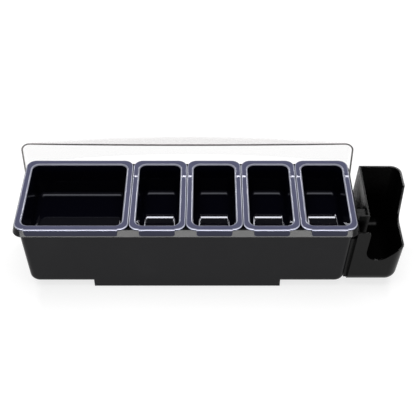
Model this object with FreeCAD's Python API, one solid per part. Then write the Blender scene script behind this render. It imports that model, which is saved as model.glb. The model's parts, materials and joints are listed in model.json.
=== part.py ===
import FreeCAD, Part
import math
import os

# Bar condiment holder: a long black box whose rim carries a row of lift-out trays, under a clear dome
# lid that swings back on two end pivots, with a napkin caddy snapped on at the right-hand end.
# Millimetres. +X runs along the box towards the caddy, +Y to the back, +Z up.
# The origin is on the counter, under the middle of the box. The lid is drawn open, as it rests.

# Box
rim_length = 495.0             # left to right over the rim
rim_depth = 152.0              # front to back over the rim
rim_height = 125.0             # top of the rim above the counter
rim_band = 14.0                # height of the band that turns down round the rim
rim_lean = 14.0                # how far the band leans out towards its foot, degrees
rim_thickness = 2.5            # thickness of the rim's plate and band
rim_corner_radius = 16.0       # rim corners, seen from above
rim_top_round = 2.5            # rounding of the rim's outer top edge
rim_roll = 1.1                 # rounding of the band's lower edges
end_overhang = 9.2             # rim edge to the end wall, at the top
face_overhang = 4.0            # rim edge to the front or back wall, at the top
box_wall = 2.5                 # wall and floor of the box
end_draft = 3.0                # lean of the end walls, degrees
face_draft = 3.3               # lean of the front and back walls, degrees
underside_height = 10.5        # underside of the box above the counter
end_bottom_radius = 14.0       # sweep from the floor up into each end wall
face_edge_radius = 8.0         # rounding of the front and back outlines

# Plinth and rubber feet
plinth_length = 277.0          # left to right
plinth_wall = 3.0              # skirt of the plinth
foot_stand = 1.2               # how far the feet stand below the plinth
foot_radius = 9.0              # rubber pad
foot_pad = 3.0                 # thickness of the pad
foot_stem_radius = 3.0         # push-in stem
foot_stem_length = 5.0         # stem above the pad
foot_inset = 20.0              # foot centre to the plinth's outside

# Trays
rim_ledge = 4.5                # bare rim left at each end of the row of trays
pint_count = 4                 # single trays, to the right of the double one
tray_gap = 0.6                 # between neighbouring flanges
tray_flange = 3.0              # thickness of the flange that rests on the rim
tray_flange_round = 1.8        # rounding of the flange's outer top edge
tray_corner_radius = 14.0      # flange corners, seen from above
tray_side_land = 9.4           # flange edge to the bowl, left and right
tray_front_land = 9.0          # flange edge to the bowl, at the front
tray_back_land = 10.2          # flange edge to the bowl, at the back
tray_back_reach = 1.1          # flange edge beyond the rim's back edge
tray_mouth_roll = 3.0          # rounding from the flange into the bowl
tray_wall = 1.8                # wall and floor of the bowl
pint_depth = 52.0              # top of the flange to the inside of a single tray's floor
quart_depth = 55.0             # the same in the double tray
tray_draft = 5.0               # lean of the bowl's walls, degrees
bowl_corner_radius = 10.0      # upright corners of the bowl
bowl_floor_radius = 7.0        # bowl wall into bowl floor
lip_height = 12.0              # front lip, from the top of the flange down
lip_thickness = 1.6            # front lip
lip_inset = 15.0               # end of the flange to the end of the lip
lip_corner_radius = 4.0        # lower corners of the lip

# Lid
lid_wall = 2.5                 # clear plastic
lid_rise = 73.0                # height of the dome at its middle
lid_crest_radius = 1345.0      # arc of the crest, seen from the front
lid_end_radius = 14.0          # shoulder from the dome into each end wall
lid_front_reach = 1.0          # lid's front edge beyond the rim, at its ends
lid_front_bow = 2.5            # how far the front edge draws in at its middle
lid_back_reach = 3.5           # lid's back edge beyond the rim
lid_end_gap = 0.5              # end of the rim to the lid's end wall
lid_open_angle = 90.0          # swing from closed to the open stop, degrees
crest_shares = (-1, -0.5, 0, 0.5, 1)   # places of the dome's sections, from end to end
shoulder_turns = (0, 30, 60, 90)       # places of the shoulder's sections, degrees round it
arm_radius = 11.0              # eye of the arm round the pivot
arm_root = 34.0                # arm's front edge ahead of the pivot, where it joins the lid
pivot_back = 16.25             # pivot behind the middle of the box
lid_open_gap = 1.3             # open lid's edge behind the rim

# Pivot pins, their bosses and bushes, and the open stop
pin_radius = 4.0               # shank of the shoulder screw
pin_depth = 8.0                # shank inside the boss
pin_head_radius = 7.5          # head outside the arm
pin_head_height = 2.2          # head outside the arm
pin_slot_width = 1.6           # driver slot
pin_slot_depth = 1.0           # driver slot
boss_radius = 10.0             # boss on the end wall
bush_wall = 2.0                # sleeve between pin and arm
bush_flange = 0.8              # flange between boss and arm
bush_flange_radius = 9.0       # flange between boss and arm
stop_offset = 32.0             # open stop behind the pivot
stop_width = 9.0               # front to back
stop_height = 7.0              # top to bottom

# Napkin caddy
caddy_wall = 2.6               # walls and floor
caddy_lean = 4.8               # lean of the left and right walls, degrees
caddy_right_draft = 1.6        # further lean of the right wall, degrees
caddy_front = -66.0            # front face
caddy_back = 68.0              # back face
caddy_bottom = 10.0            # underside above the counter
caddy_drop = 0.5               # top of the rim down to the top of the caddy's back and tall left walls
caddy_under_rim = 1.0          # front post below the rim's band
caddy_left_gap = 2.0           # front post inside the end of the rim, at its top
caddy_recess = 12.5            # end of the rim to the tall left wall, at its top
caddy_right_reach = 75.0       # end of the rim to the right wall, at its top
caddy_jog = -43.0              # where the left wall steps in to make room for the lid's arm
caddy_bottom_radius = 18.0     # right wall into floor
caddy_edge_radius = 16.0       # front and back faces into the right wall and floor
post_width = 18.5              # front post, left of the scoop
post_round = 4.0               # top corner of the post
scoop_depth = 54.0             # top of the post down to the bottom of the scoop
scoop_floor = 27.0             # from the post to where the scoop starts to rise
scoop_left_radius = 16.0       # post into the scoop's floor
scoop_right_radius = 20.0      # scoop's floor into its right-hand slope
scoop_slope = 42.0             # rise of the right-hand slope, degrees
side_drop = 49.5               # top of the caddy down to its right wall's low front part
side_step = 4.0                # where the right wall starts to rise, behind the middle
side_rise = 18.0               # front-to-back length of that rise
side_round = 12.0              # rounding at the foot of that rise
tongue_width = 22.0            # snap tongue, front to back
tongue_thickness = 5.0         # snap tongue, top to bottom
tongue_reach = 7.0             # tongue inside the rim's outer edge
tongue_drop = 6.0              # top of the rim to the top of the tongue
spacer_width = 12.0            # spacer rib between the front post and the box, front to back
spacer_drop = 18.0             # top of the front post down to the top of the spacer rib
spacer_rise = 4.0              # underside of the caddy up to the underside of the spacer rib

# Clearances
seat_gap = 0.3                 # between parts that rest on or pass each other
running_gap = 0.05             # radial, between a pin and its hole
overcut = 1.0                  # how far a cutting body runs past the face that it opens
tolerance = 1e-4               # for finding edges by their place

# Values worked out from the sizes above
vector = FreeCAD.Vector
x_axis = vector(1, 0, 0)
y_axis = vector(0, 1, 0)
z_axis = vector(0, 0, 1)
rim_end = rim_length / 2
rim_face = rim_depth / 2
band_bottom = rim_height - rim_band
flange_top = rim_height + tray_flange
rim_slope = math.tan(math.radians(rim_lean))
end_slope = math.tan(math.radians(end_draft))
face_slope = math.tan(math.radians(face_draft))
tray_pitch = (rim_length - 2 * rim_ledge) / (pint_count + 2)
tray_front = -(rim_face + seat_gap)
tray_back = rim_face + tray_back_reach
lid_edge = flange_top + seat_gap
lid_inner_end = rim_end + lid_end_gap
lid_outer_end = lid_inner_end + lid_wall
lid_front = -(rim_face + lid_front_reach)
lid_back = rim_face + lid_back_reach
boss_face = lid_inner_end - bush_flange - seat_gap
pivot_height = lid_edge - (rim_face + lid_open_gap - pivot_back)
pivot = vector(0, pivot_back, pivot_height)
caddy_top = rim_height - caddy_drop
side_height = caddy_top - side_drop
post_top = band_bottom - caddy_under_rim
caddy_slope = math.tan(math.radians(caddy_lean))
caddy_right_slope = math.tan(math.radians(caddy_lean + caddy_right_draft))
tongue_top = rim_height - tongue_drop
spacer_level = caddy_bottom + spacer_rise
spacer_height = post_top - spacer_drop - spacer_level


def box_half_length(height):
    """Middle of the box to the outside of its end wall, at a height above the counter."""
    return rim_end - end_overhang - end_slope * (rim_height - height)


def box_half_depth(height):
    """Middle of the box to the outside of its front or back wall, at a height above the counter."""
    return rim_face - face_overhang - face_slope * (rim_height - height)


def block(low, high):
    """Box between two opposite corners."""
    size = high - low
    return Part.makeBox(size.x, size.y, size.z, low)


def rounded_wire(corners):
    """Closed outline through (point, radius) corners, each turned into a tangent arc."""
    count = len(corners)
    starts, middles, ends = [], [], []
    for index, (point, radius) in enumerate(corners):
        to_last = (corners[index - 1][0] - point).normalize()
        to_next = (corners[(index + 1) % count][0] - point).normalize()
        half_angle = to_last.getAngle(to_next) / 2
        setback = radius / math.tan(half_angle)
        inward = (to_last + to_next).normalize()
        starts.append(point + to_last * setback)
        middles.append(point + inward * (radius / math.sin(half_angle) - radius))
        ends.append(point + to_next * setback)
    edges = []
    for index in range(count):
        following = starts[(index + 1) % count]
        if corners[index][1] > 0:
            edges.append(Part.Arc(starts[index], middles[index], ends[index]).toShape())
        if (following - ends[index]).Length > tolerance:
            edges.append(Part.LineSegment(ends[index], following).toShape())
    return Part.Wire(edges)


def front_outline(y, corners):
    """Closed outline in a front view at y, through (x, z, radius) corners."""
    return rounded_wire([(vector(x, y, z), radius) for x, z, radius in corners])


def side_outline(x, corners):
    """Closed outline in a side view at x, through (y, z, radius) corners."""
    return rounded_wire([(vector(x, y, z), radius) for y, z, radius in corners])


def rectangle_wire(x_low, x_high, y_low, y_high, z, radius):
    """Level rectangle with rounded corners."""
    return rounded_wire([(vector(x_low, y_low, z), radius), (vector(x_high, y_low, z), radius),
                         (vector(x_high, y_high, z), radius), (vector(x_low, y_high, z), radius)])


def prism(wire, direction):
    """Solid swept straight along a direction from a flat outline."""
    return Part.Face(wire).extrude(direction)


def edges_at(shape, test):
    """Edges whose middle point passes a test."""
    return [edge for edge in shape.Edges
            if test(edge.valueAt((edge.FirstParameter + edge.LastParameter) / 2))]


def near(value, target):
    return abs(value - target) < tolerance


def box_tub(inset, floor, top, end_radius, edge_radius):
    """Tapered tub with the box's lean: its walls stand inset from the outside of the box."""
    def half_length(height):
        return box_half_length(height) - inset

    def half_depth(height):
        return box_half_depth(height) - inset

    low_x, high_x = half_length(floor), half_length(top)
    low_y, high_y = half_depth(floor), half_depth(top)
    front_view = front_outline(-rim_depth, [(-high_x, top, 0), (-low_x, floor, end_radius),
                                            (low_x, floor, end_radius), (high_x, top, 0)])
    side_view = side_outline(-rim_length, [(-high_y, top, 0), (-low_y, floor, 0),
                                           (low_y, floor, 0), (high_y, top, 0)])
    tub = prism(front_view, y_axis * (2 * rim_depth)).common(prism(side_view, x_axis * (2 * rim_length)))

    def on_outline(point):
        return near(abs(point.y), half_depth(point.z)) and not near(point.z, top)

    return tub.makeFillet(edge_radius, edges_at(tub, on_outline))


def rim_frustum(inset, bottom, top):
    """Solid inside the leaning band; inset moves its sides inwards."""
    outlines = []
    for height in (bottom, top):
        shift = inset + rim_slope * (height - band_bottom)
        outlines.append(rectangle_wire(shift - rim_end, rim_end - shift, shift - rim_face, rim_face - shift,
                                       height, rim_corner_radius - shift))
    return Part.makeLoft(outlines, True, True)


def make_rim():
    """Plate round the mouth of the box, turned down into a leaning band with rolled edges."""
    outer = rim_frustum(0, band_bottom, rim_height)
    outer = outer.makeFillet(rim_top_round, edges_at(outer, lambda point: near(point.z, rim_height)))
    channel = rim_frustum(rim_thickness, band_bottom - overcut, rim_height - rim_thickness)
    rim = outer.cut(channel)
    return rim.makeFillet(rim_roll, edges_at(rim, lambda point: near(point.z, band_bottom)))


def make_plinth():
    """Foot of the box: its front and back carry on down from the box's own faces."""
    height = underside_height + end_bottom_radius
    low_y, high_y = box_half_depth(foot_stand), box_half_depth(height)
    half_length = plinth_length / 2
    section = side_outline(-half_length, [(-high_y, height, 0), (-low_y, foot_stand, 0),
                                          (low_y, foot_stand, 0), (high_y, height, 0)])
    return prism(section, x_axis * plinth_length)


def foot_places():
    """Names and centres of the four feet, on the counter."""
    x = plinth_length / 2 - foot_inset
    y = box_half_depth(foot_stand) - foot_inset
    return {"front_left": vector(-x, -y, 0), "front_right": vector(x, -y, 0),
            "back_left": vector(-x, y, 0), "back_right": vector(x, y, 0)}


def make_base_box():
    """Box with its rim, plinth, pivot bosses, open stops and caddy slot, as one moulding."""
    body = box_tub(0, underside_height, rim_height, end_bottom_radius, face_edge_radius)
    body = body.fuse([make_rim(), make_plinth()])
    inner_floor = underside_height + box_wall
    cavity = box_tub(box_wall, inner_floor, rim_height + overcut,
                     end_bottom_radius - box_wall, face_edge_radius - box_wall)
    pocket_x = plinth_length / 2 - plinth_wall
    pocket_y = box_half_depth(foot_stand) - plinth_wall
    pocket = block(vector(-pocket_x, -pocket_y, foot_stand - overcut),
                   vector(pocket_x, pocket_y, underside_height))
    body = body.cut([cavity, pocket])

    additions, holes = [], []
    for place in foot_places().values():
        socket = place + z_axis * foot_pad
        additions.append(Part.makeCylinder(foot_radius, underside_height + box_wall / 2 - foot_pad, socket))
        holes.append(Part.makeCylinder(foot_stem_radius + running_gap, foot_stem_length + seat_gap, socket))
    for side in (-1, 1):
        outward = x_axis * side
        wall_middle = box_half_length(pivot_height - boss_radius) - box_wall / 2
        boss_start = vector(side * wall_middle, pivot_back, pivot_height)
        additions.append(Part.makeCylinder(boss_radius, boss_face - wall_middle, boss_start, outward))
        pin_start = vector(side * (boss_face - pin_depth), pivot_back, pivot_height)
        holes.append(Part.makeCylinder(pin_radius + running_gap, pin_depth + overcut, pin_start, outward))
        stop_top = pivot_height - arm_radius - seat_gap
        stop_root = box_half_length(stop_top - stop_height) - box_wall / 2
        stop_front = pivot_back + stop_offset
        stop_ends = sorted((side * stop_root, side * (lid_outer_end - seat_gap)))
        additions.append(block(vector(stop_ends[0], stop_front, stop_top - stop_height),
                               vector(stop_ends[1], stop_front + stop_width, stop_top)))
    slot_bottom = tongue_top - tongue_thickness - seat_gap
    slot_start = rim_end - rim_slope * rim_band - rim_thickness - overcut
    holes.append(block(vector(slot_start, tongue_front() - seat_gap, slot_bottom),
                       vector(rim_end + overcut, tongue_back() + seat_gap, tongue_top + seat_gap)))
    return body.fuse(additions).cut(holes).removeSplitter()


def make_foot(place):
    """Push-in rubber foot: a pad with a softened tread edge, and a stem."""
    pad = Part.makeCylinder(foot_radius, foot_pad, place)
    pad = pad.makeFillet(foot_stand / 2, edges_at(pad, lambda point: near(point.z, 0)))
    stem = Part.makeCylinder(foot_stem_radius, foot_stem_length, place + z_axis * foot_pad)
    return pad.fuse(stem).removeSplitter()


def bowl(x_low, x_high, y_low, y_high, inset, mouth, floor):
    """Tapered bowl under a mouth at the flange; inset moves every wall inwards."""
    slope = math.tan(math.radians(tray_draft))
    outlines = []
    for height in (mouth, floor):
        shift = inset + slope * (flange_top - height)
        outlines.append(rectangle_wire(x_low + shift, x_high - shift, y_low + shift, y_high - shift,
                                       height, bowl_corner_radius - inset))
    shape = Part.makeLoft(outlines, True, True)
    floor_radius = bowl_floor_radius - inset
    return shape.makeFillet(floor_radius, edges_at(shape, lambda point: near(point.z, floor)))


def make_tray(x_low, x_high, depth):
    """Lift-out tray: a flange that rests on the rim, a bowl, and a front lip over the rim's band."""
    flange = prism(rectangle_wire(x_low, x_high, tray_front, tray_back, rim_height, tray_corner_radius),
                   z_axis * tray_flange)
    walls = (x_low + tray_side_land, x_high - tray_side_land,
             tray_front + tray_front_land, tray_back - tray_back_land)
    inside = bowl(*walls, 0, flange_top + overcut, flange_top - depth)
    outside = bowl(*walls, -tray_wall, rim_height + tray_flange / 2, flange_top - depth - tray_wall)

    lip_low, lip_high = x_low + lip_inset, x_high - lip_inset
    lip_face = tray_front - lip_thickness
    lip_bottom = flange_top - lip_height
    lip_wire = front_outline(lip_face, [(lip_low, lip_bottom, lip_corner_radius),
                                        (lip_high, lip_bottom, lip_corner_radius),
                                        (lip_high, flange_top, 0), (lip_low, flange_top, 0)])
    lip = prism(lip_wire, y_axis * lip_thickness)
    bridge = block(vector(lip_low, lip_face, rim_height),
                   vector(lip_high, tray_front + tray_front_land / 2, flange_top))
    lip = lip.fuse(bridge).removeSplitter()
    lip = lip.makeFillet(tray_flange_round, edges_at(lip, lambda point: near(point.y, lip_face)
                                                     and near(point.z, flange_top)))
    flange = flange.makeFillet(tray_flange_round, edges_at(flange, lambda point: near(point.z, flange_top)))
    tray = flange.fuse([outside, lip]).cut(inside).removeSplitter()

    def at_mouth(point):
        inside_x = x_low + tray_side_land / 2 < point.x < x_high - tray_side_land / 2
        inside_y = tray_front + tray_front_land / 2 < point.y < tray_back - tray_back_land / 2
        return near(point.z, flange_top) and inside_x and inside_y

    return tray.makeFillet(tray_mouth_roll, edges_at(tray, at_mouth))


def make_trays():
    """A double-width tray at the left, then a row of single ones."""
    left = -tray_pitch * (pint_count + 2) / 2
    trays = {"quart_tray": make_tray(left, left + 2 * tray_pitch - tray_gap, quart_depth)}
    for index in range(pint_count):
        start = left + (2 + index) * tray_pitch
        trays[f"pint_tray_{index + 1}"] = make_tray(start, start + tray_pitch - tray_gap, pint_depth)
    return trays


def dome_section(x, inset, drop):
    """Arc of the dome across the box at x, closed along its lower edge; drop extends it downwards."""
    flat_end = lid_outer_end - lid_end_radius
    beyond = max(0.0, abs(x) - flat_end)
    radius = lid_end_radius - inset
    shoulder = radius - math.sqrt(max(0.0, radius ** 2 - beyond ** 2))
    crest_drop = lid_crest_radius - math.sqrt(lid_crest_radius ** 2 - x ** 2)
    bow = lid_front_bow * (1 - (x / lid_outer_end) ** 2)
    front = lid_front + bow + inset + shoulder
    back = lid_back - inset - shoulder
    middle = (front + back) / 2
    top = lid_edge + lid_rise - crest_drop - inset - shoulder
    arc = Part.Arc(vector(x, front, lid_edge), vector(x, middle, top), vector(x, back, lid_edge)).toShape()
    corners = [vector(x, back, lid_edge), vector(x, back, lid_edge - drop),
               vector(x, front, lid_edge - drop), vector(x, front, lid_edge)]
    if drop == 0:
        return Part.Wire([arc, Part.LineSegment(corners[0], corners[-1]).toShape()])
    lines = [Part.LineSegment(start, end).toShape() for start, end in zip(corners, corners[1:])]
    return Part.Wire([arc] + lines)


def dome_solid(inset, drop):
    """Solid under the dome: a crowned middle and a rounded shoulder at each end."""
    flat_end = lid_outer_end - lid_end_radius
    radius = lid_end_radius - inset
    middle = [dome_section(flat_end * share, inset, drop) for share in crest_shares]
    pieces = [Part.makeLoft(middle, True, False)]
    for side in (-1, 1):
        places = [side * (flat_end + radius * math.sin(math.radians(turn))) for turn in shoulder_turns]
        pieces.append(Part.makeLoft([dome_section(x, inset, drop) for x in places], True, False))
    return pieces[0].fuse(pieces[1:])


def make_lid():
    """Clear dome with an arm down each end to the pivot, built closed and then swung open."""
    shell = dome_solid(0, 0).cut(dome_solid(lid_wall, overcut))
    arms, holes = [], []
    for side in (-1, 1):
        x = side * lid_inner_end
        overlap = lid_edge + lid_wall
        back_top = vector(x, pivot_back + arm_radius, overlap)
        back_eye = vector(x, pivot_back + arm_radius, pivot_height)
        low_eye = vector(x, pivot_back, pivot_height - arm_radius)
        front_eye = vector(x, pivot_back - arm_radius, pivot_height)
        front_top = vector(x, pivot_back - arm_root, overlap)
        outline = Part.Wire([Part.LineSegment(back_top, back_eye).toShape(),
                             Part.Arc(back_eye, low_eye, front_eye).toShape(),
                             Part.LineSegment(front_eye, front_top).toShape(),
                             Part.LineSegment(front_top, back_top).toShape()])
        arms.append(prism(outline, x_axis * side * lid_wall))
        hole_start = vector(side * (lid_inner_end - overcut), pivot_back, pivot_height)
        holes.append(Part.makeCylinder(pin_radius + running_gap + bush_wall + running_gap,
                                       lid_wall + 2 * overcut, hole_start, x_axis * side))
    lid = shell.fuse(arms).cut(holes).removeSplitter()
    lid.rotate(pivot, x_axis, -lid_open_angle)
    return lid


def make_bush(side):
    """Flanged sleeve pressed into the lid's arm, turning on the pin."""
    start = vector(side * (lid_inner_end - bush_flange), pivot_back, pivot_height)
    bore = pin_radius + running_gap
    length = bush_flange + lid_wall
    sleeve = Part.makeCylinder(bore + bush_wall, length, start, x_axis * side)
    flange = Part.makeCylinder(bush_flange_radius, bush_flange, start, x_axis * side)
    hole = Part.makeCylinder(bore, length + 2 * overcut, start - x_axis * side * overcut, x_axis * side)
    return sleeve.fuse(flange).cut(hole).removeSplitter()


def make_pin(side):
    """Shoulder screw that carries the lid: a shank in the boss, and a slotted head outside the arm."""
    outward = x_axis * side
    shank_start = boss_face - pin_depth + seat_gap
    head_start = lid_outer_end + seat_gap
    head_end = head_start + pin_head_height
    shank = Part.makeCylinder(pin_radius, head_start - shank_start,
                              vector(side * shank_start, pivot_back, pivot_height), outward)
    head = Part.makeCylinder(pin_head_radius, pin_head_height,
                             vector(side * head_start, pivot_back, pivot_height), outward)
    head = head.makeFillet(pin_slot_depth, edges_at(head, lambda point: near(abs(point.x), head_end)))
    slot_ends = sorted((side * (head_end - pin_slot_depth), side * (head_end + overcut)))
    slot = block(vector(slot_ends[0], pivot_back - pin_head_radius, pivot_height - pin_slot_width / 2),
                 vector(slot_ends[1], pivot_back + pin_head_radius, pivot_height + pin_slot_width / 2))
    return shank.fuse(head).cut(slot).removeSplitter()


def caddy_left(height):
    """Outside of the caddy's front post, which hugs the box's end wall."""
    return rim_end - caddy_left_gap - caddy_slope * (post_top - height)


def caddy_tall(height):
    """Outside of the caddy's tall left wall, set back to clear the lid's arm."""
    return rim_end + caddy_recess - caddy_slope * (caddy_top - height)


def caddy_right(height):
    """Outside of the caddy's right wall."""
    return rim_end + caddy_right_reach - caddy_right_slope * (caddy_top - height)


def tongue_front():
    """Front of the snap tongue, level with the front of the step in the caddy's left wall."""
    return caddy_jog - caddy_wall


def tongue_back():
    return tongue_front() + tongue_width


def caddy_block(inset, top):
    """Leaning bin with a swept right-hand bottom corner; inset moves its walls and floor inwards."""
    front, back, floor = caddy_front + inset, caddy_back - inset, caddy_bottom + inset
    outline = front_outline(front, [(caddy_left(floor) + inset, floor, 0),
                                    (caddy_right(floor) - inset, floor, caddy_bottom_radius - inset),
                                    (caddy_right(top) - inset, top, 0), (caddy_left(top) + inset, top, 0)])
    shape = prism(outline, y_axis * (back - front))

    def on_outline(point):
        on_face = near(point.y, front) or near(point.y, back)
        return on_face and not near(point.z, top) and not near(point.x, caddy_left(point.z) + inset)

    return shape.makeFillet(caddy_edge_radius - inset, edges_at(shape, on_outline))


def caddy_recess_cut(inset):
    """Space beside the tall wall for the lid's arm and pin; inset widens it by the wall."""
    low, high = caddy_bottom - overcut, caddy_top + 2 * overcut
    front = caddy_jog - inset
    outline = front_outline(front, [(0, low, 0), (caddy_tall(low) + inset, low, 0),
                                    (caddy_tall(high) + inset, high, 0), (0, high, 0)])
    return prism(outline, y_axis * (caddy_back + overcut - front))


def caddy_top_cuts():
    """Everything taken off the caddy's top edge: the low front, the scoop, the right wall's dip."""
    high = caddy_top + overcut
    start = caddy_front - overcut
    far_right = caddy_right(caddy_top) + overcut
    low_front = block(vector(0, start, post_top), vector(far_right, tongue_front(), high))
    rim_clearance = block(vector(0, start, post_top), vector(rim_end + 2 * seat_gap, caddy_back, high))

    def post_right(height):
        return caddy_left(height) + post_width

    scoop_bottom = post_top - scoop_depth
    slope_start = post_right(scoop_bottom) + scoop_floor
    slope_end = slope_start + (high - scoop_bottom) / math.tan(math.radians(scoop_slope))
    scoop_wire = front_outline(start, [(post_right(high), high, 0),
                                       (post_right(scoop_bottom), scoop_bottom, scoop_left_radius),
                                       (slope_start, scoop_bottom, scoop_right_radius), (slope_end, high, 0)])
    scoop = prism(scoop_wire, y_axis * (tongue_front() - start))

    middle = (caddy_tall(caddy_top) + far_right) / 2
    side_wire = side_outline(middle, [(start, side_height, 0), (side_step, side_height, side_round),
                                      (side_step + side_rise, high, 0), (start, high, 0)])
    side_dip = prism(side_wire, x_axis * (far_right - middle))
    return [low_front, rim_clearance, scoop, side_dip]


def make_caddy():
    """Napkin caddy: a leaning bin, open at the top and scooped at the front, with its snap tongue."""
    outside = caddy_block(0, caddy_top).cut(caddy_recess_cut(0))
    inside = caddy_block(caddy_wall, caddy_top + overcut).cut(caddy_recess_cut(caddy_wall))
    caddy = outside.cut(inside).cut(caddy_top_cuts())

    tongue_bottom = tongue_top - tongue_thickness
    tongue_root = caddy_tall(tongue_bottom) + caddy_wall / 2
    tongue = block(vector(rim_end - tongue_reach, tongue_front(), tongue_bottom),
                   vector(tongue_root, tongue_back(), tongue_top))
    spacer_front = caddy_front + caddy_edge_radius / 2
    spacer_top = spacer_level + spacer_height
    spacer_wire = front_outline(spacer_front, [
        (box_half_length(spacer_level) + seat_gap, spacer_level, 0),
        (caddy_left(spacer_level) + caddy_wall / 2, spacer_level, 0),
        (caddy_left(spacer_top) + caddy_wall / 2, spacer_top, 0),
        (box_half_length(spacer_top) + seat_gap, spacer_top, 0)])
    spacer = prism(spacer_wire, y_axis * spacer_width)
    caddy = caddy.fuse([tongue, spacer]).removeSplitter()

    def at_post_corner(point):
        return near(point.z, post_top) and near(point.x, caddy_left(post_top) + post_width)

    return caddy.makeFillet(post_round, edges_at(caddy, at_post_corner))


def main():
    os.makedirs("parts", exist_ok=True)
    parts = {"base_box": make_base_box(), "dome_lid": make_lid(), "napkin_caddy": make_caddy()}
    parts.update(make_trays())
    for name, place in foot_places().items():
        parts[f"{name}_foot"] = make_foot(place)
    for name, side in (("left", -1), ("right", 1)):
        parts[f"{name}_pivot_pin"] = make_pin(side)
        parts[f"{name}_pivot_bush"] = make_bush(side)
    for name, shape in parts.items():
        shape.exportStep(f"parts/{name}.step")
        print(name, shape.ShapeType, len(shape.Solids), shape.isValid(), round(shape.Volume))


main()
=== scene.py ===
# %% [markdown]
# # Dressing a bar condiment holder
# The holder is a long black box with a row of polished trays under a clear lid, and a napkin caddy
# at one end. Its shapes come from the imported solids, so this lesson is about finish, light and camera.
# We load the solids first.

# %% Load the frame
import json
import math
import bpy
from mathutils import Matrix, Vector


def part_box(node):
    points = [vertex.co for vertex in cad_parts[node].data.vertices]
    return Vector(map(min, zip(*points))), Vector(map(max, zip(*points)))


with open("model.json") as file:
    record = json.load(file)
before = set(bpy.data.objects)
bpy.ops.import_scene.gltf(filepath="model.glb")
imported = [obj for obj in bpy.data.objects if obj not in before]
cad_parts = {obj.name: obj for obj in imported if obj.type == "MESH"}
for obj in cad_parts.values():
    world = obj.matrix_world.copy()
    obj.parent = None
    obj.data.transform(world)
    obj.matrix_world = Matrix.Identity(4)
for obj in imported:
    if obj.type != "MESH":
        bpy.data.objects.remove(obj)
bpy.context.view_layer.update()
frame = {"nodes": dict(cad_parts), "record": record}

nodes = frame["nodes"]

# %% [markdown]
# ## Sums on shader sockets
# A finish is a small sum: a base roughness plus some smudges, a colour mixed towards a scuff.
# Wiring each Math node by hand hides that sum, so a socket is wrapped in a class that knows + - and *.
# Any other node comes from its one method, `node`, which takes the node's settings first, then its sockets.

# %% The socket class
class Signal:
    """A shader socket that can be used in a Python sum, or, with no socket, the start of a material."""

    def __init__(self, tree, socket=None):
        self.tree = tree
        self.socket = socket

    def node(self, kind, settings=None, inputs=None, output=0):
        made = self.tree.nodes.new(kind)
        for name, value in (settings or {}).items():
            setattr(made, name, value)
        for name, value in (inputs or {}).items():
            if isinstance(value, Signal):
                self.tree.links.new(value.socket, made.inputs[name])
            else:
                made.inputs[name].default_value = value
        return Signal(self.tree, made.outputs[output] if made.outputs else None)

    def math(self, operation, first, second):
        return self.node("ShaderNodeMath", {"operation": operation}, {0: first, 1: second})

    def __add__(self, other):
        return self.math("ADD", self, other)

    def __radd__(self, other):
        return self.math("ADD", other, self)

    def __sub__(self, other):
        return self.math("SUBTRACT", self, other)

    def __rsub__(self, other):
        return self.math("SUBTRACT", other, self)

    def __mul__(self, other):
        return self.math("MULTIPLY", self, other)

    def __rmul__(self, other):
        return self.math("MULTIPLY", other, self)


print("a signal adds nodes for + - and *")

# %% [markdown]
# ## Patterns that every finish shares
# Object coordinates are metres on the piece itself, so a grain keeps its real size and rides with the
# piece. `speckle` is noise at a real spacing, `fade` turns a value into a soft 0 to 1 mask, and `blend`
# mixes two colours by such a mask. An image texture could do the same, but it would need unwrapping.

# %% Pattern helpers
MM = 0.001


def place_on(start):
    """Where a point of the piece is, in metres."""
    return start.node("ShaderNodeTexCoord", output="Object")


def along(vector, axis):
    """How far a vector reaches along X, Y or Z."""
    return vector.node("ShaderNodeSeparateXYZ", {}, {"Vector": vector}, output=axis)


def speckle(place, spacing, detail=2.0, stretch=(1, 1, 1)):
    """Noise whose blotches are about this far apart; stretch draws them out along an axis."""
    scale = [1 / (spacing * factor) for factor in stretch]
    stretched = place.node("ShaderNodeVectorMath", {"operation": "MULTIPLY"}, {0: place, 1: scale})
    return place.node("ShaderNodeTexNoise", {}, {"Vector": stretched, "Scale": 1.0, "Detail": detail})


def fade(value, low, high):
    """0 at low, 1 at high, and smooth between; low may be the larger of the two."""
    sockets = {"Value": value, "From Min": low, "From Max": high}
    if low > high:
        sockets = {"Value": value, "From Min": high, "From Max": low, "To Min": 1.0, "To Max": 0.0}
    return value.node("ShaderNodeMapRange", {"interpolation_type": "SMOOTHSTEP"}, sockets)


print("patterns: place, speckle and fade")

# %% [markdown]
# A material is opened empty and closed with one Principled shader, because that shader covers plastic,
# rubber and metal alike, and its sockets can be baked for the library.

# %% Material helpers
MIX_FIRST, MIX_SECOND, MIX_RESULT = 6, 7, 2    # the Mix node's colour sockets, whose names repeat


def blend(mask, first, second):
    """First colour where the mask is 0, second where it is 1; either may be a signal."""
    ends = [end if isinstance(end, Signal) else (*end, 1) for end in (first, second)]
    sockets = {0: mask, MIX_FIRST: ends[0], MIX_SECOND: ends[1]}
    return mask.node("ShaderNodeMix", {"data_type": "RGBA"}, sockets, output=MIX_RESULT)


def bump(height, strength, depth):
    """A normal that follows a height pattern."""
    return height.node("ShaderNodeBump", {}, {"Height": height, "Strength": strength, "Distance": depth})


def new_finish(name):
    """An empty material and the start of its nodes."""
    material = bpy.data.materials.new(name)
    material.use_nodes = True
    material.node_tree.nodes.clear()
    return material, Signal(material.node_tree)


def close_finish(material, start, sockets):
    """End a material in one Principled shader with these sockets."""
    shader = start.node("ShaderNodeBsdfPrincipled", {}, sockets)
    start.node("ShaderNodeOutputMaterial", {}, {"Surface": shader})
    print("finish:", material.name, len(material.node_tree.nodes), "nodes")
    return material


print("materials in the file so far:", len(bpy.data.materials))

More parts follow.
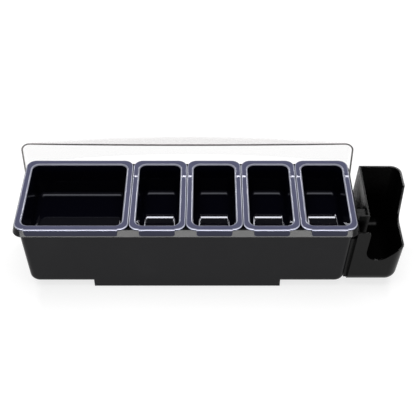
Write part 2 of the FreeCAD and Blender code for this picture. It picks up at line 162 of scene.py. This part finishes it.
# %% [markdown]
# ## Satin black for the box and the caddy
# Both are moulded from a black plastic whose mould was lightly textured: the surface is even, dark and
# satin. A flat black would look like a hole, so it has a fine grain, slow patches of more and less gloss,
# and hairline rubs that run along the box, as wiping leaves them. The caddy is the blacker of the two.

# %% Satin plastic
GRAIN_SPACING = 0.5 * MM
GRAIN_DEPTH = 0.05 * MM
GRAIN_STRENGTH = 0.12
PATCH_SPACING = 45 * MM
RUB_SPACING = 0.9 * MM
RUB_STRETCH = (60, 1, 1)       # rubs are this much longer along the box
RUB_RANGE = (0.66, 0.78)       # noise from here on is a rub
RUB_WEAR = 0.5                 # how much a rub counts against a patch
WEAR_RANGE = (0.55, 1.1)       # patches and rubs from here on show the worn colour
SATIN_ROUGHNESS = 0.16
PATCH_DULLING, GRAIN_DULLING, RUB_POLISHING = 0.08, 0.05, 0.03
BOX_BLACK, BOX_WORN, BOX_SHINE = (0.0030, 0.0030, 0.0034), (0.0050, 0.0050, 0.0054), 0.105
CADDY_BLACK, CADDY_WORN, CADDY_SHINE = (0.0012, 0.0012, 0.0012), (0.0020, 0.0020, 0.0020), 0.13


def satin_plastic(name, colour, worn_colour, shine):
    material, start = new_finish(name)
    place = place_on(start)
    grain = speckle(place, GRAIN_SPACING, detail=3)
    patches = speckle(place, PATCH_SPACING, detail=3)
    rubs = fade(speckle(place, RUB_SPACING, detail=1, stretch=RUB_STRETCH), *RUB_RANGE)
    wear = fade(patches + RUB_WEAR * rubs, *WEAR_RANGE)
    dulling = PATCH_DULLING * patches + GRAIN_DULLING * grain - RUB_POLISHING * rubs
    return close_finish(material, start, {
        "Base Color": blend(wear, colour, worn_colour),
        "Roughness": SATIN_ROUGHNESS + dulling,
        "Normal": bump(grain, GRAIN_STRENGTH, GRAIN_DEPTH),
        "Specular IOR Level": shine,
    })


box_finish = satin_plastic("satin_black_box", BOX_BLACK, BOX_WORN, BOX_SHINE)
caddy_finish = satin_plastic("satin_black_caddy", CADDY_BLACK, CADDY_WORN, CADDY_SHINE)

# %% [markdown]
# ## Polished navy for the trays
# The trays are a harder plastic, polished all over and so dark a navy that the bowls read as black.
# The lighter colours are painted light: a faint painted glow of light through the thin front lip, a
# painted reflection that lightens the flange's navy, and painted highlights along the flange's rolled
# edges, which read as pale lines. Masks find these places. Height tells lip and flange apart, and the
# normal finds the rolls.

# %% Where light is painted on a tray
LIP_ZONE = (16 * MM, 6 * MM)           # each zone runs from the first to the second depth under the top
FLANGE_ZONE = (2.2 * MM, 0.6 * MM)
ROLL_ZONE = (4 * MM, 2 * MM)
FLAT_TO_ROLL = (0.995, 0.92)           # upward part of the normal where a flat starts to roll
WALL_TO_ROLL = (0.15, 0.5)             # and where a wall does
flange_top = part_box("quart_tray")[1].z


def tray_painted_light_masks(start, place):
    """Masks for the lip's painted glow, the flange's painted reflection and the rolls' painted highlights.
    """
    height = along(place, "Z")
    upward = along(start.node("ShaderNodeTexCoord", output="Normal"), "Z")
    zones = (LIP_ZONE, FLANGE_ZONE, ROLL_ZONE)
    masks = [fade(height, flange_top - deep, flange_top - high) for deep, high in zones]
    lip_glow_mask, flange_reflection_mask, near_roll = masks
    sloping = fade(upward, *FLAT_TO_ROLL) * fade(upward, *WALL_TO_ROLL)
    # the painted highlights go where the normal rolls near the flange's top
    return lip_glow_mask, flange_reflection_mask, sloping * near_roll


print("trays' flanges lie at z in mm:", round(flange_top / MM, 1))

# %% [markdown]
# The polish is not perfect either: finger smudges dull it a little, and fine swirls run front to back,
# as a cloth leaves them when a tray is wiped out.

# %% Tray plastic
SMUDGE_SPACING = 22 * MM
SMUDGE_DEPTH = 0.1 * MM
SMUDGE_STRENGTH = 0.004
SWIRL_STRETCH = (1, 25, 1)
SWIRL_RANGE = (0.62, 0.8)
POLISH_ROUGHNESS, SMUDGE_DULLING, SWIRL_DULLING = 0.004, 0.014, 0.015
BOWL_NAVY = (0.002, 0.002, 0.005)
# painted light: a glow through the lip, a reflection on the flange, highlights on the rolls
LIP_PAINTED_GLOW = (0.003, 0.0035, 0.011)
FLANGE_PAINTED_REFLECTION = (0.105, 0.109, 0.18)
ROLL_PAINTED_HIGHLIGHT = (0.46, 0.47, 0.56)
TRAY_SHINE = 0.34
TRAY_TINT = (0.86, 0.88, 1.0, 1)


def tray_plastic():
    material, start = new_finish("polished_navy_tray_painted_light")
    place = place_on(start)
    smudges = speckle(place, SMUDGE_SPACING, detail=4)
    swirls = fade(speckle(place, RUB_SPACING, detail=1, stretch=SWIRL_STRETCH), *SWIRL_RANGE)
    lip_glow_mask, flange_reflection_mask, rolled = tray_painted_light_masks(start, place)
    # navy with the lip's painted glow, then the flange's painted reflection
    navy = blend(lip_glow_mask, BOWL_NAVY, LIP_PAINTED_GLOW)
    flange = blend(flange_reflection_mask, navy, FLANGE_PAINTED_REFLECTION)
    return close_finish(material, start, {
        # painted highlights along the flange's rolled edges
        "Base Color": blend(rolled, flange, ROLL_PAINTED_HIGHLIGHT),
        "Roughness": POLISH_ROUGHNESS + SMUDGE_DULLING * smudges + SWIRL_DULLING * swirls,
        "Normal": bump(smudges, SMUDGE_STRENGTH, SMUDGE_DEPTH),
        "Specular IOR Level": TRAY_SHINE,
        "Specular Tint": TRAY_TINT,
    })


tray_finish = tray_plastic()

# %% [markdown]
# ## Clear plastic for the lid
# A clear sheet is seen by its edges, where light that is caught inside comes out grey, and by a slight
# darkening of what is behind it. Real refraction through two close faces is slow and noisy, so the sheet is
# mostly see-through by its alpha, more solid where it is seen edge-on, with a dark warm tint. A pale tint
# would lie over the black trays like fog. The light caught in the edge is painted as a grey line at the
# lid's mouth.

# %% Where the lid's edge is
LID_EDGE_ZONE = 10 * MM        # the lid's top, where its front edge is when it is open
LID_EDGE_WIDTH = 1.6 * MM
lid_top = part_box("dome_lid")[1].z
lid_corners = [vertex.co for vertex in nodes["dome_lid"].data.vertices]
lid_mouth = min(corner.y for corner in lid_corners if corner.z > lid_top - LID_EDGE_ZONE)
print("lid's open edge stands at y in mm:", round(lid_mouth / MM, 1))

# %% Lid plastic
LID_INDEX = 1.58               # how strongly polycarbonate bends light
LID_TINT = (0.20, 0.125, 0.115)
# a painted grey line, standing in for the light caught in the lid's edge
LID_EDGE_PAINTED_GREY = (0.11, 0.098, 0.098)
LID_EDGE_SOLID = 0.92
LID_SOLID, LID_GLANCING_SOLID = 0.015, 0.10    # share of the light that the sheet stops
LID_ROUGHNESS, LID_SMUDGE_DULLING = 0.03, 0.06


def lid_plastic():
    material, start = new_finish("clear_lid_painted_edge")
    place = place_on(start)
    # the band at the lid's mouth where the grey edge line is painted
    edge = fade(along(place, "Y"), lid_mouth + LID_EDGE_WIDTH, lid_mouth)
    smudges = speckle(place, SMUDGE_SPACING, detail=4)
    glancing = start.node("ShaderNodeFresnel", {}, {"IOR": LID_INDEX})
    solid = LID_SOLID + LID_GLANCING_SOLID * glancing
    return close_finish(material, start, {
        "Base Color": blend(edge, LID_TINT, LID_EDGE_PAINTED_GREY),
        "Roughness": LID_ROUGHNESS + LID_SMUDGE_DULLING * smudges,
        "Alpha": solid + (1 - solid) * edge * LID_EDGE_SOLID,
        "IOR": LID_INDEX,
    })


lid_finish = lid_plastic()

# %% [markdown]
# ## Rubber for the feet
# The feet are soft black rubber, pushed into the plinth. Rubber greys as it ages, so a dusty bloom lies on
# it in blotches, and a fine grain takes away any shine.

# %% Foot rubber
BLOOM_SPACING = 4 * MM
BLOOM_RANGE = (0.4, 0.75)
RUBBER_GRAIN_SPACING = 0.4 * MM
RUBBER_GRAIN_DEPTH = 0.05 * MM
RUBBER_GRAIN_STRENGTH = 0.3
RUBBER_ROUGHNESS, BLOOM_DULLING = 0.7, 0.2
RUBBER_BLACK, RUBBER_BLOOM = (0.012, 0.012, 0.012), (0.04, 0.039, 0.037)


def foot_rubber():
    material, start = new_finish("foot_rubber")
    place = place_on(start)
    bloom = speckle(place, BLOOM_SPACING, detail=4)
    grain = speckle(place, RUBBER_GRAIN_SPACING)
    return close_finish(material, start, {
        "Base Color": blend(fade(bloom, *BLOOM_RANGE), RUBBER_BLACK, RUBBER_BLOOM),
        "Roughness": RUBBER_ROUGHNESS + BLOOM_DULLING * bloom,
        "Normal": bump(grain, RUBBER_GRAIN_STRENGTH, RUBBER_GRAIN_DEPTH),
    })


foot_finish = foot_rubber()

# %% [markdown]
# ## Steel for the pivot pins
# The pins are turned on a lathe, which leaves fine rings around them. Noise that is short along the pin and
# long across it gives such rings without a drawn pattern.

# %% Pin steel
RING_SPACING = 0.25 * MM
RING_STRETCH = (1, 12, 12)     # the pins lie along X
RING_DEPTH = 0.02 * MM
RING_STRENGTH = 0.1
STEEL_ROUGHNESS, RING_DULLING = 0.2, 0.2
STEEL_DARK, STEEL_LIGHT = (0.52, 0.52, 0.54), (0.66, 0.66, 0.67)


def pin_steel():
    material, start = new_finish("turned_steel_pin")
    rings = speckle(place_on(start), RING_SPACING, detail=1, stretch=RING_STRETCH)
    return close_finish(material, start, {
        "Base Color": blend(rings, STEEL_DARK, STEEL_LIGHT),
        "Metallic": 1.0,
        "Roughness": STEEL_ROUGHNESS + RING_DULLING * rings,
        "Normal": bump(rings, RING_STRENGTH, RING_DEPTH),
    })


pin_finish = pin_steel()

# %% [markdown]
# ## Acetal for the bushes
# The bushes are plain white acetal, a slippery plastic with a waxy, faintly mottled look. One soft noise
# moves the colour, the gloss and the surface together, so that the mottle reads as one thing.

# %% Bush acetal
MOTTLE_SPACING = 3 * MM
MOTTLE_DEPTH = 0.05 * MM
MOTTLE_STRENGTH = 0.05
ACETAL_ROUGHNESS, MOTTLE_DULLING = 0.42, 0.1
ACETAL_DARK, ACETAL_LIGHT = (0.68, 0.67, 0.63), (0.78, 0.77, 0.73)


def bush_acetal():
    material, start = new_finish("acetal_bush")
    mottle = speckle(place_on(start), MOTTLE_SPACING, detail=3)
    return close_finish(material, start, {
        "Base Color": blend(mottle, ACETAL_DARK, ACETAL_LIGHT),
        "Roughness": ACETAL_ROUGHNESS + MOTTLE_DULLING * mottle,
        "Normal": bump(mottle, MOTTLE_STRENGTH, MOTTLE_DEPTH),
    })


bush_finish = bush_acetal()

# %% [markdown]
# ## Put the finishes on the pieces
# The solids already have their rounds, rolls and walls, so each keeps its mesh, and only its material
# changes. The record names a slot for each piece, which is safer than a second list of pieces here.

# %% Give every piece its finish
SLOT_FINISHES = {
    "box_plastic": box_finish,
    "caddy_plastic": caddy_finish,
    "tray_plastic": tray_finish,
    "lid_clear": lid_finish,
    "foot_rubber": foot_finish,
    "pin_steel": pin_finish,
    "bush_plastic": bush_finish,
}
for part in frame["record"]["subparts"]:
    piece = nodes[part["node"]]
    piece.data.materials.clear()
    piece.data.materials.append(SLOT_FINISHES[part["material_slot"]])

# %% [markdown]
# ## A white studio
# The holder was photographed on white. A plain pale floor would still show the light's fall-off and a
# shadow, so the floor also glows a little, as a light table does, and only a faint shadow is left. It is
# wide, so that its far edge stays near the horizon. A dim even surround fills in the rest.

# %% Floor and surround
FLOOR_WIDTH = 60.0             # metres
FLOOR_GREY = (0.4, 0.4, 0.4, 1)
FLOOR_ROUGHNESS = 0.9
FLOOR_GLOW = 0.72
WHITE = (1, 1, 1, 1)
SURROUND_STRENGTH = 0.15


def make_floor():
    bpy.ops.mesh.primitive_plane_add(size=FLOOR_WIDTH)
    floor = bpy.context.object
    floor.name = "studio_floor"
    material, start = new_finish("pale_floor")
    close_finish(material, start, {
        "Base Color": FLOOR_GREY,
        "Roughness": FLOOR_ROUGHNESS,
        "Specular IOR Level": 0.0,
        "Emission Color": WHITE,
        "Emission Strength": FLOOR_GLOW,
    })
    floor.data.materials.append(material)


def make_surround(strength):
    world = bpy.data.worlds.new("white_surround")
    world.use_nodes = True
    background = world.node_tree.nodes["Background"]
    background.inputs["Color"].default_value = WHITE
    background.inputs["Strength"].default_value = strength
    bpy.context.scene.world = world


make_floor()
make_surround(SURROUND_STRENGTH)

# %% [markdown]
# ## Lights that a polished tray can mirror
# Black plastic is drawn by what it mirrors, so each light is placed for the glint that it makes:
# - a large softbox overhead lights everything and gives the grey line at the back of each bowl;
# - a thin line of light, behind and above the lid, is mirrored in the single bowls and between the trays;
# - two softboxes behind, to the left and right, keep their glints to the bowls' corners;
# - a low strip in front is mirrored in the rim's leaning band, which turns grey.

# %% Lights
LIGHTS = {                     # places, targets and sizes in metres, power in watts
    "top_softbox": {"place": (0, 0, 2.2), "target": (0, 0, 0), "size": (1.8, 1.8), "power": 28},
    "back_line": {"place": (0.094, 0.309, 0.355), "target": (0.094, 0.005, 0.076),
                  "size": (0.40, 0.003), "power": 0.09},
    "back_left_softbox": {"place": (-0.68, 1.11, 0.83), "target": (0, 0, 0.1),
                          "size": (0.24, 0.40), "power": 5.0},
    "back_right_softbox": {"place": (0.66, 1.11, 0.83), "target": (0, 0, 0.1),
                           "size": (0.24, 0.40), "power": 5.0},
    "front_strip": {"place": (0, -0.40, 0.025), "target": (0, -0.076, 0.118),
                    "size": (0.9, 0.06), "power": 5.0},
}


def make_light(name, place, target, size, power):
    light = bpy.data.lights.new(name, "AREA")
    light.shape = "RECTANGLE"
    light.size, light.size_y = size
    light.energy = power
    lamp = bpy.data.objects.new(name, light)
    lamp.location = place
    lamp.rotation_euler = (Vector(target) - Vector(place)).to_track_quat("-Z", "Y").to_euler()
    bpy.context.scene.collection.objects.link(lamp)


for name, settings in LIGHTS.items():
    make_light(name, **settings)
bpy.context.scene.view_settings.view_transform = "Standard"

# %% [markdown]
# ## The camera
# The camera stands in front and looks down by 42 degrees, from about a metre and a half away, as it did
# for the photograph. Its place and focal length were fitted to the picture, so the focal length is in pixels
# first and then turned into the millimetres of Blender's own sensor.

# %% Camera
CAMERA_PLACE = (31.1 * MM, -1036.0 * MM, 1032.4 * MM)
CAMERA_TILT = 42.0             # degrees below level
LEVEL = 90.0                   # a new camera looks straight down, and this turn brings it level
FOCAL_PIXELS = 941.4
IMAGE_PIXELS = 416
SENSOR_WIDTH = 36.0            # millimetres

camera_data = bpy.data.cameras.new("photo_camera")
camera_data.sensor_width = SENSOR_WIDTH
camera_data.lens = SENSOR_WIDTH * FOCAL_PIXELS / IMAGE_PIXELS
camera = bpy.data.objects.new("photo_camera", camera_data)
camera.location = CAMERA_PLACE
camera.rotation_euler = (math.radians(LEVEL - CAMERA_TILT), 0, 0)
bpy.context.scene.collection.objects.link(camera)
bpy.context.scene.camera = camera
print("lens in mm:", round(camera_data.lens, 1))

# %% [markdown]
# ## The end

# %% End
print("the scene is set")
